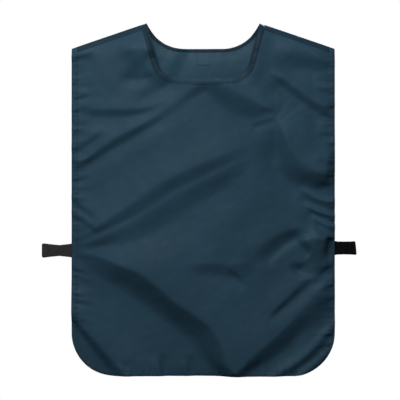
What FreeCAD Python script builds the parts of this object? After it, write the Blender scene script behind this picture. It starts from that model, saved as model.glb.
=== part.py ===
import FreeCAD, Part
import math
import os

# A lead apron in tabard form: a front and a back panel that hang from one shoulder ridge, with an
# elastic loop on each side. Each panel is a face cloth, two plies of shielding sheet and a lining,
# bound round its edges.
#
# Frame: millimetres, +Z up, the front panel faces -Y, +X is to the right of someone facing the front.
# The origin is on the shoulder ridge, midway between the two neck points.
# A layer's place is its inset from the outer surface of the face cloth, positive towards the wearer.

# ---- cut of the panels -----------------------------------------------------
panel_width = 526.0
panel_length = 705.0  # neck point to hem
hem_corner_radius = 86.0
neck_width = 226.0  # neck point to neck point
shoulder_drop = 51.0  # neck point to shoulder corner

front_neck_depth = 114.0
front_neck_foot_width = 168.0  # where the sides of the neckline would meet its bottom
front_neck_foot_rise = 6.0
front_neck_corner_radius = 40.0
front_neck_bottom_radius = 400.0

back_neck_depth = 50.0
back_neck_foot_width = 176.0
back_neck_corner_radius = 80.0

# ---- how far the panels stand out ------------------------------------------
front_bulge = 24.0
back_bulge = 16.0
fullest_height = 0.4  # share of the length, from the neck, where a panel stands out most
hem_flattening = 0.3  # share of the bulge that is gone at the hem
ridge_roll = 60.0  # length over which the cloth turns down from the ridge
ridge_softening = 100.0  # half width over which the ridge line rounds over the neck opening
body_gap = 0.3  # between front and back pieces, where they come closest

# ---- cloth and sheet -------------------------------------------------------
face_cloth = 0.35
shield_ply = 0.55
lining_cloth = 0.3
ply_clearance = 0.1
ply_edge_margin = 4.0  # the plies stop short of the cloth's edge
ply_ridge_margin = 8.0

# ---- bindings, tapes and thread --------------------------------------------
binding_width = 12.0
binding_cloth = 0.35
binding_clearance = 0.05
tape_end_clearance = 0.1
thread_width = 0.5
thread_height = 0.2
stitch_margin = 2.0  # from a stitch line to the inner edge of its binding

# ---- elastic loops and their tabs ------------------------------------------
band_width = 28.0
band_thickness = 1.2
band_corner_radius = 2.5
left_reach = 60.0
right_reach = 43.0
left_band_height = -455.0  # of the band's middle line
right_band_height = -450.0
band_root_clearance = 0.8
tab_length = 30.0
tab_edge_inset = 0.3
tab_clearance = 0.3
tack_width = 2.0
tack_end_margin = 2.0
tack_inset = 6.0  # from the panel's edge

# ---- neck label ------------------------------------------------------------
label_width = 26.0
label_height = 20.0
label_cloth = 0.2
label_drop = 1.0  # from the neck binding to the label
label_stitch_margin = 2.0

# ---- construction of the surfaces ------------------------------------------
grid_columns = 11
grid_rows = 13
grid_crowding = 1.7  # above 1 the rows crowd towards the ridge
surface_margin = 12.0  # how far a surface runs past the panel's outline
region_reach = 120.0  # how far a region's prism runs in Y, past any panel

FRONT, BACK = -1.0, 1.0
LEFT, RIGHT = -1.0, 1.0

half_width = panel_width / 2
neck_half = neck_width / 2
shoulder_slope = shoulder_drop / (half_width - neck_half)

# insets of the layers, from the outside in
outer_ply_inset = face_cloth + ply_clearance
inner_ply_inset = outer_ply_inset + shield_ply + ply_clearance
lining_inset = inner_ply_inset + shield_ply + ply_clearance
cloth_back = lining_inset + lining_cloth
binding_back = cloth_back + binding_clearance + binding_cloth
binding_face = -binding_clearance - binding_cloth
tab_inset = binding_back + tab_clearance
side_depth = tab_inset + band_thickness + body_gap / 2
cloth_edge = binding_cloth + binding_clearance


def clear_top():
    """A height that is clear above the shoulder ridge."""
    return ridge_height(0) + 2 * surface_margin


def ridge_height(x):
    """Height of the shoulder ridge: straight over the shoulders, rounded over the neck opening."""
    u = min(abs(x) / ridge_softening, 1.0)
    rounded = ridge_softening * (3 / 8 + 3 / 4 * u**2 - 1 / 8 * u**4)
    run = rounded if u < 1.0 else abs(x)
    return -shoulder_slope * (run - neck_half)


def panel_depth(x, z, bulge):
    """Distance of a panel's outer surface from the shoulder plane, y = 0."""
    across = 1 - (x / half_width) ** 2
    down = 1 - hem_flattening * ((-z / panel_length - fullest_height) / (1 - fullest_height)) ** 2
    below_ridge = min((ridge_height(x) - z) / ridge_roll, 1.0)
    roll = 1 - (1 - below_ridge) ** 3
    return roll * (side_depth + bulge * across * down)


def panel_surface(side, bulge):
    """The outer surface of a face cloth, run out past its outline."""
    outer_x = half_width + surface_margin
    bottom = -panel_length - surface_margin
    points = []
    for i in range(grid_columns):
        x = outer_x * (2 * i / (grid_columns - 1) - 1)
        top = ridge_height(x) + surface_margin
        column = []
        for j in range(grid_rows):
            z = top + (bottom - top) * (j / (grid_rows - 1)) ** grid_crowding
            column.append(FreeCAD.Vector(x, side * panel_depth(x, z, bulge), z))
        points.append(column)
    surface = Part.BSplineSurface()
    surface.interpolate(points)
    return surface.toShape()


def rounded_wire(corners):
    """A closed wire in the plane y = 0 through corners given as (x, z, radius), with tangent arcs."""
    edges = []
    starts, ends, middles = [], [], []
    count = len(corners)
    for i, (x, z, radius) in enumerate(corners):
        here = FreeCAD.Vector(x, 0, z)
        before = FreeCAD.Vector(corners[i - 1][0], 0, corners[i - 1][1])
        after = FreeCAD.Vector(corners[(i + 1) % count][0], 0, corners[(i + 1) % count][1])
        to_before = (before - here).normalize()
        to_after = (after - here).normalize()
        half_angle = to_before.getAngle(to_after) / 2
        reach = radius / math.tan(half_angle)
        starts.append(here + to_before * reach)
        ends.append(here + to_after * reach)
        bisector = (to_before + to_after).normalize()
        middles.append(here + bisector * (radius / math.sin(half_angle) - radius))
    for i in range(count):
        if corners[i][2] > 0:
            edges.append(Part.Arc(starts[i], middles[i], ends[i]).toShape())
        edges.append(Part.LineSegment(ends[i], starts[(i + 1) % count]).toShape())
    return Part.Wire(edges)


def prism(wire, side, reach=region_reach):
    """The region inside a wire, on one side of the shoulder plane and half the body gap clear of it."""
    face = Part.Face(wire)
    face.translate(FreeCAD.Vector(0, side * body_gap / 2, 0))
    return face.extrude(FreeCAD.Vector(0, side * reach, 0))


def rectangle(x0, x1, z0, z1, radius=0.0):
    return rounded_wire([(x0, z0, radius), (x1, z0, radius), (x1, z1, radius), (x0, z1, radius)])


def panel_outline(inset):
    """Sides, hem corners and hem; it closes above the ridge, where the shoulder plane trims the layers."""
    x = half_width - inset
    top = clear_top()
    bottom = -panel_length + inset
    radius = hem_corner_radius - inset
    return rounded_wire([(-x, top, 0), (-x, bottom, radius), (x, bottom, radius), (x, top, 0)])


def neck_hole(side, growth):
    """The neck opening of one panel, grown all round; it closes above the ridge."""
    if side == FRONT:
        foot = front_neck_foot_width / 2
        foot_height = front_neck_foot_rise - front_neck_depth
        corner_radius = front_neck_corner_radius
        low = [(foot, foot_height, corner_radius), (0, -front_neck_depth, front_neck_bottom_radius),
               (-foot, foot_height, corner_radius)]
    else:
        foot = back_neck_foot_width / 2
        foot_height = -back_neck_depth
        low = [(foot, foot_height, back_neck_corner_radius), (-foot, foot_height, back_neck_corner_radius)]
    spread = (neck_half - foot) / -foot_height
    top_x = neck_half + spread * clear_top()
    wire = rounded_wire([(top_x, clear_top(), 0), *low, (-top_x, clear_top(), 0)])
    if growth > 0:
        wire = wire.makeOffset2D(growth, 2)
    return wire


class Panel:
    """One panel's surface, from which its layers, bindings, tapes and thread are made."""

    def __init__(self, side, bulge):
        self.side = side
        self.surface = panel_surface(side, bulge)

    def slab(self, outer, inner):
        """Everything between two insets of the surface."""
        skin = self.surface.copy()
        skin.translate(FreeCAD.Vector(0, -self.side * outer, 0))
        return skin.extrude(FreeCAD.Vector(0, -self.side * (inner - outer), 0))

    def layer(self, region, outer, inner):
        """The part of a slab that lies in a region, which may be given in adjoining stretches."""
        slab = self.slab(outer, inner)
        return join([slab.common(stretch) for stretch in region.Solids])

    def cloth_region(self, inset):
        return prism(panel_outline(inset), self.side).cut(prism(neck_hole(self.side, inset), self.side))

    def cloth(self, outer, thickness):
        return self.layer(self.cloth_region(cloth_edge), outer, outer + thickness)

    def ply(self, outer):
        below_ridge = prism(shoulder_band(-ply_ridge_margin, -2 * panel_length), self.side)
        return self.layer(self.cloth_region(ply_edge_margin).common(below_ridge), outer, outer + shield_ply)

    def edge_ring(self, outer_inset, inner_inset):
        """The band between two insets of the outline, in short stretches for a sound solid."""
        outer = prism(panel_outline(outer_inset), self.side)
        ring = outer.cut(prism(panel_outline(inner_inset), self.side))
        corner_x = half_width - hem_corner_radius
        corner_z = hem_corner_radius - panel_length
        far_x = half_width + surface_margin
        low_z = -panel_length - surface_margin
        # each corner is parted again where its arc has turned halfway
        turn = hem_corner_radius * math.sqrt(0.5)
        stretches = [(-corner_x, 0, low_z, corner_z), (0, corner_x, low_z, corner_z)]
        for hand in (LEFT, RIGHT):
            far, diagonal, near = hand * far_x, hand * (corner_x + turn), hand * corner_x
            stretches.append((*sorted((near, far)), corner_z, clear_top()))
            stretches.append((*sorted((diagonal, far)), low_z, corner_z))
            stretches.append((*sorted((near, diagonal)), low_z, corner_z))
        return join([ring.common(prism(rectangle(*stretch), self.side)) for stretch in stretches])

    def neck_ring(self, inner_growth, outer_growth):
        outer_hole = prism(neck_hole(self.side, outer_growth), self.side)
        return outer_hole.cut(prism(neck_hole(self.side, inner_growth), self.side))

    def binding(self, ring, channel_region):
        """A strip folded over an edge: a block round the edge, less the channel that the cloths fill."""
        block = self.slab(binding_face, binding_back)
        channel = self.layer(channel_region, -binding_clearance, cloth_back + binding_clearance)
        return fuse([block.common(stretch).cut(channel) for stretch in ring.Solids])

    def edge_binding(self):
        return self.binding(self.edge_ring(0, binding_width), prism(panel_outline(binding_cloth), self.side))

    def neck_binding(self):
        whole = prism(panel_outline(0), self.side)
        channel_region = whole.cut(prism(neck_hole(self.side, binding_cloth), self.side))
        return self.binding(self.neck_ring(0, binding_width), channel_region)

    def outer_thread(self, region):
        face = binding_face - binding_clearance
        return self.layer(region, face - thread_height, face)

    def inner_thread(self, region, carried_on=binding_back):
        back = carried_on + binding_clearance
        return self.layer(region, back, back + thread_height)

    def thread(self, region):
        """A stitch line's needle thread on the outside and bobbin thread on the inside."""
        return join([self.outer_thread(region), self.inner_thread(region)])

    def edge_stitching(self):
        inset = binding_width - stitch_margin
        return self.thread(self.edge_ring(inset - thread_width / 2, inset + thread_width / 2))

    def neck_stitching(self):
        growth = binding_width - stitch_margin
        return self.thread(self.neck_ring(growth - thread_width / 2, growth + thread_width / 2))

    def between_bindings(self, hand, upper, lower):
        """A strip along one shoulder, from the neck binding to the edge binding."""
        strip = prism(shoulder_band(upper, lower), self.side)
        clear = binding_width + tape_end_clearance
        inner = prism(neck_hole(self.side, clear), self.side)
        outer_x = half_width - clear
        ends = sorted((0, hand * outer_x))
        span = prism(rectangle(*ends, -panel_length, clear_top()), self.side)
        return strip.common(span).cut(inner)

    def shoulder_tape(self, hand):
        strip = self.between_bindings(hand, clear_top(), -binding_width)
        return self.layer(strip, binding_face, -binding_clearance)

    def shoulder_stitching(self):
        middle = stitch_margin - binding_width
        upper, lower = middle + thread_width / 2, middle - thread_width / 2
        return join([self.outer_thread(self.between_bindings(hand, upper, lower)) for hand in (LEFT, RIGHT)])

    def strap_tab(self, hand):
        """The end of an elastic loop, sewn flat to the inside of the panel."""
        outer_x, inner_x = half_width - tab_edge_inset, half_width - tab_length
        region = prism(band_patch(hand, inner_x, outer_x, band_width / 2), self.side)
        return self.layer(region, tab_inset, tab_inset + band_thickness)

    def bar_tack(self, hand):
        """Dense stitches through the panel and the tab: a bar outside and a bar inside."""
        middle = half_width - tack_inset
        half_height = band_width / 2 - tack_end_margin
        patch = band_patch(hand, middle - tack_width / 2, middle + tack_width / 2, half_height)
        region = prism(patch, self.side)
        return join([self.outer_thread(region), self.inner_thread(region, tab_inset + band_thickness)])

    def label_patch(self, margin):
        top = -back_neck_depth - binding_width - label_drop - margin
        half = label_width / 2 - margin
        return rectangle(-half, half, top - label_height + 2 * margin, top)

    def neck_label(self):
        inset = cloth_back + binding_clearance
        return self.layer(prism(self.label_patch(0), self.side), inset, inset + label_cloth)

    def label_stitching(self):
        """A line of thread just inside the label's edge."""
        outer = prism(self.label_patch(label_stitch_margin - thread_width), self.side)
        ring = outer.cut(prism(self.label_patch(label_stitch_margin), self.side))
        return self.inner_thread(ring, cloth_back + binding_clearance + label_cloth)


def shoulder_band(upper, lower):
    """A region between two lines along both shoulders, at heights measured from the ridge."""
    far = half_width + surface_margin
    shoulder = -shoulder_slope * (far - neck_half)
    peak = shoulder_slope * neck_half
    return rounded_wire([(-far, shoulder + lower, 0), (0, peak + lower, 0), (far, shoulder + lower, 0),
                         (far, shoulder + upper, 0), (0, peak + upper, 0), (-far, shoulder + upper, 0)])


def band_middle(hand):
    return left_band_height if hand == LEFT else right_band_height


def band_patch(hand, near, far, half_height, radius=0.0):
    """A rectangle on the line of one band, from one distance off the middle of the panel to another."""
    ends = sorted((hand * near, hand * far))
    middle = band_middle(hand)
    return rectangle(ends[0], ends[1], middle - half_height, middle + half_height, radius)


def band_leaf(side, hand):
    """Half of an elastic loop, from the panel's edge out to the fold."""
    reach = left_reach if hand == LEFT else right_reach
    near = half_width + band_root_clearance
    outline = band_patch(hand, near, half_width + reach, band_width / 2, band_corner_radius)
    return prism(outline, side, band_thickness)


def join(shapes):
    """Shapes kept as separate solids of one node."""
    solids = [solid for shape in shapes for solid in shape.Solids]
    return solids[0] if len(solids) == 1 else Part.makeCompound(solids)


def fuse(shapes):
    """Adjoining shapes made into one solid."""
    solids = join(shapes).Solids
    return join([solids[0].multiFuse(solids[1:])]) if len(solids) > 1 else solids[0]


def panel_nodes(name, panel):
    return {
        f"{name}_face_cloth": panel.cloth(0, face_cloth),
        f"{name}_shield_ply_outer": panel.ply(outer_ply_inset),
        f"{name}_shield_ply_inner": panel.ply(inner_ply_inset),
        f"{name}_lining": panel.cloth(lining_inset, lining_cloth),
        f"{name}_edge_binding": panel.edge_binding(),
        f"{name}_neck_binding": panel.neck_binding(),
        f"{name}_edge_stitching": panel.edge_stitching(),
        f"{name}_neck_stitching": panel.neck_stitching(),
        f"{name}_left_shoulder_tape": panel.shoulder_tape(LEFT),
        f"{name}_right_shoulder_tape": panel.shoulder_tape(RIGHT),
        f"{name}_shoulder_stitching": panel.shoulder_stitching(),
        f"{name}_left_strap_tab": panel.strap_tab(LEFT),
        f"{name}_right_strap_tab": panel.strap_tab(RIGHT),
        f"{name}_left_bar_tack": panel.bar_tack(LEFT),
        f"{name}_right_bar_tack": panel.bar_tack(RIGHT),
    }


def main():
    back = Panel(BACK, back_bulge)
    nodes = panel_nodes("front", Panel(FRONT, front_bulge))
    nodes.update(panel_nodes("back", back))
    nodes["neck_label"] = back.neck_label()
    nodes["label_stitching"] = back.label_stitching()
    for name, side in (("front", FRONT), ("back", BACK)):
        nodes[f"left_strap_{name}_leaf"] = band_leaf(side, LEFT)
        nodes[f"right_strap_{name}_leaf"] = band_leaf(side, RIGHT)
    os.makedirs("parts", exist_ok=True)
    for name, shape in nodes.items():
        shape.exportStep(f"parts/{name}.step")
        print(name, len(shape.Solids), round(shape.Volume), shape.isValid())


main()
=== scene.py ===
import math

import bpy
import numpy as np
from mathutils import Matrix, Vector


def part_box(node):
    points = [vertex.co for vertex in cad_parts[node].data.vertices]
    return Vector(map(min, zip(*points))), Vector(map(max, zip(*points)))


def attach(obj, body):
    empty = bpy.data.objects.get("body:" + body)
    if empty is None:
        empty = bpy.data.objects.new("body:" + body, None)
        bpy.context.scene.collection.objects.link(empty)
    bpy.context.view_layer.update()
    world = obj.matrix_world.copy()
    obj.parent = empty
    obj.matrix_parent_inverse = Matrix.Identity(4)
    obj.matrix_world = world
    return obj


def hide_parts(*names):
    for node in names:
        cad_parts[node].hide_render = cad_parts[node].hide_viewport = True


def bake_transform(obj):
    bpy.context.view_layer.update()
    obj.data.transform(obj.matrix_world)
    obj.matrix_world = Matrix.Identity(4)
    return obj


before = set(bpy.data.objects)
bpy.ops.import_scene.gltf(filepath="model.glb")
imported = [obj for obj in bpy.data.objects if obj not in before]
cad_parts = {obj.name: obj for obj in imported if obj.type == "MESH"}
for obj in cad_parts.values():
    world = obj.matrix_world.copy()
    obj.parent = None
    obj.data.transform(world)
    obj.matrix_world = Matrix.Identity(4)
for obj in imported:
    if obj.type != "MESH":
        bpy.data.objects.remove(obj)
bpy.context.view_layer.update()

# A lead apron in tabard form. Each panel is a field: the distance of its outer surface from the shoulder
# plane, y = 0, with its folds. Every cloth, binding, tape and stitch is laid on that field at an inset,
# which is positive towards the wearer. Lengths are millimetres until a mesh is made in metres.

METRE = 0.001
FRONT, BACK = -1.0, 1.0
LEFT, RIGHT = -1.0, 1.0


def node_box(node):
    """A node's lowest and highest corners in millimetres."""
    low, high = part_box(node)
    return np.array(low) / METRE, np.array(high) / METRE


# ---- sizes read from the frame ---------------------------------------------
edge_low, edge_high = node_box("front_edge_binding")
half_width = edge_high[0]
panel_length = -edge_low[2]

# ---- sizes of the cut, as in the part --------------------------------------
hem_corner_radius = 86.0
neck_half = 113.0
shoulder_drop = 51.0
front_neck_depth, front_foot_half, front_foot_rise = 114.0, 84.0, 6.0
front_neck_corner, front_neck_bottom = 40.0, 400.0
back_neck_depth, back_foot_half, back_neck_corner = 50.0, 88.0, 80.0
side_depth = 4.1
bulges = {FRONT: 24.0, BACK: 16.0}
fullest_height, hem_flattening = 0.4, 0.3
ridge_roll, ridge_softening = 60.0, 100.0
shoulder_slope = shoulder_drop / (half_width - neck_half)

# ---- layers, as insets of the outer surface --------------------------------
cloth_thickness, ply_thickness, lining_thickness = 0.35, 0.55, 0.3
outer_ply_inset, inner_ply_inset, lining_inset = 0.45, 1.1, 1.75
ply_loft, inner_ply_loft, lining_loft = 1.0, 1.4, 2.2  # how much further in they lie away from the edges
loft_start, loft_run = 4.0, 26.0  # inward from the edges
sag_reach = 3.0  # how far round a place an inner layer looks for lower cloth
sag_start, sag_run = 3.0, 7.0  # inward from the edges
cloth_margin = 1.6  # from the panel's outline to the edges of its layers
cloth_recess, recess_run = 0.3, 2.5  # of the cloths where a binding covers them
binding_width, neck_binding_inside = 12.0, 7.0  # the neck's strip is narrower on the inside
binding_cloth = 0.45
binding_face, binding_back = -0.6, 2.55
seam_gap = 0.2  # between a layer's top edge and the shoulder plane
thread_radius = 0.27
stitch_inset = 10.0
stitch_length, stitch_pitch = 2.7, 3.6
stitch_top_gap = 3.0  # from the ridge to a line's first stitch
tab_inset, tab_thickness, tab_length = 2.78, 1.2, 30.0
tab_past_root = 0.4  # how far a tab runs past its loop's hinge


def smoothstep(t):
    t = np.clip(t, 0, 1)
    return t * t * (3 - 2 * t)


# ---- the unfolded surface ---------------------------------------------------
def ridge_height(x):
    u = np.minimum(np.abs(x) / ridge_softening, 1)
    rounded = ridge_softening * (3 / 8 + 3 / 4 * u**2 - 1 / 8 * u**4)
    return -shoulder_slope * (np.where(u < 1, rounded, np.abs(x)) - neck_half)


def full_depth(x, z, side):
    """The depth that a panel has away from its ridge."""
    across = 1 - (x / half_width) ** 2
    down = 1 - hem_flattening * ((-z / panel_length - fullest_height) / (1 - fullest_height)) ** 2
    return side_depth + bulges[side] * across * down


def base_depth(x, z, side):
    u = np.clip((ridge_height(x) - z) / ridge_roll, 0, 1)
    return (1 - (1 - u) ** 3) * full_depth(x, z, side)


def layer_top(x, inset, side):
    """The height at which a layer meets the shoulder plane."""
    share = np.clip((np.maximum(inset, 0) + seam_gap) / full_depth(x, ridge_height(x), side), 0, 0.95)
    return ridge_height(x) - ridge_roll * (1 - (1 - share) ** (1 / 3))


# ---- outlines in the plane y = 0 -------------------------------------------
path_overrun = 4.0  # how far the outlines run past the ridge


def rounded_path(corners, step):
    """An open path through corners given as (x, z, radius): straight runs joined by tangent arcs."""
    points = [np.array(corners[0][:2], float)]
    for before, (x, z, radius), after in zip(corners, corners[1:-1], corners[2:]):
        here = np.array([x, z])
        to_before = np.array(before[:2]) - here
        to_after = np.array(after[:2]) - here
        to_before /= np.hypot(*to_before)
        to_after /= np.hypot(*to_after)
        half = math.acos(np.clip(to_before @ to_after, -1, 1)) / 2
        bisector = (to_before + to_after) / np.hypot(*(to_before + to_after))
        centre = here + bisector * radius / math.sin(half)
        start = here + to_before * radius / math.tan(half) - centre
        sweep = math.pi - 2 * half
        turn = math.copysign(1, -(to_before[0] * to_after[1] - to_before[1] * to_after[0]))
        count = max(2, int(radius * sweep / step))
        for k in range(count + 1):
            a = turn * sweep * k / count
            points.append(centre + np.array([start[0] * math.cos(a) - start[1] * math.sin(a),
                                             start[0] * math.sin(a) + start[1] * math.cos(a)]))
    points.append(np.array(corners[-1][:2], float))
    return np.array(points)


def edge_path(step=4.0):
    """Down the left side, along the hem and up the right side."""
    top = ridge_height(half_width) + path_overrun
    low = -panel_length
    return rounded_path([(-half_width, top), (-half_width, low, hem_corner_radius),
                         (half_width, low, hem_corner_radius), (half_width, top)], step)


def neck_foot(side):
    """Where a neckline's straight side ends: its x, z and corner radius, and how much x grows with z."""
    if side == FRONT:
        foot = (front_foot_half, front_foot_rise - front_neck_depth, front_neck_corner)
    else:
        foot = (back_foot_half, -back_neck_depth, back_neck_corner)
    return (*foot, (neck_half - foot[0]) / -foot[1])


def neck_path(side, step=3.0):
    """Along the neckline, from the left neck point to the right one."""
    foot, foot_z, corner, spread = neck_foot(side)
    low = [(-foot, foot_z, corner), (foot, foot_z, corner)]
    if side == FRONT:
        low.insert(1, (0, -front_neck_depth, front_neck_bottom))
    top_x = neck_half + spread * path_overrun
    return rounded_path([(-top_x, path_overrun), *low, (top_x, path_overrun)], step)


def resample(path, step):
    """The same path in even steps."""
    run = np.concatenate([[0], np.cumsum(np.hypot(*np.diff(path, axis=0).T))])
    s = np.linspace(0, run[-1], int(run[-1] / step) + 1)
    return np.stack([np.interp(s, run, path[:, 0]), np.interp(s, run, path[:, 1])], 1)


def left_normals(path):
    along = np.gradient(path, axis=0)
    along /= np.hypot(*along.T)[:, None]
    return np.stack([-along[:, 1], along[:, 0]], 1)


def near(x, z, path):
    """For each point: its signed distance from a path, positive on the path's left, the place along it in
    millimetres, and the nearest point of the path."""
    best = np.full(x.shape, 1e12)
    sign, place = np.zeros(x.shape), np.zeros(x.shape)
    foot_x, foot_z = np.zeros(x.shape), np.zeros(x.shape)
    start = 0.0
    for (ax, az), (bx, bz) in zip(path[:-1], path[1:]):
        run = math.hypot(bx - ax, bz - az)
        dx, dz = (bx - ax) / run, (bz - az) / run
        t = np.clip((x - ax) * dx + (z - az) * dz, 0, run)
        px, pz = ax + t * dx, az + t * dz
        d = (x - px) ** 2 + (z - pz) ** 2
        m = d < best
        best = np.where(m, d, best)
        sign = np.where(m, dx * (z - pz) - dz * (x - px), sign)
        place = np.where(m, start + t, place)
        foot_x, foot_z = np.where(m, px, foot_x), np.where(m, pz, foot_z)
        start += run
    return np.sqrt(best) * np.where(sign >= 0, 1, -1), place, foot_x, foot_z


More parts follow.
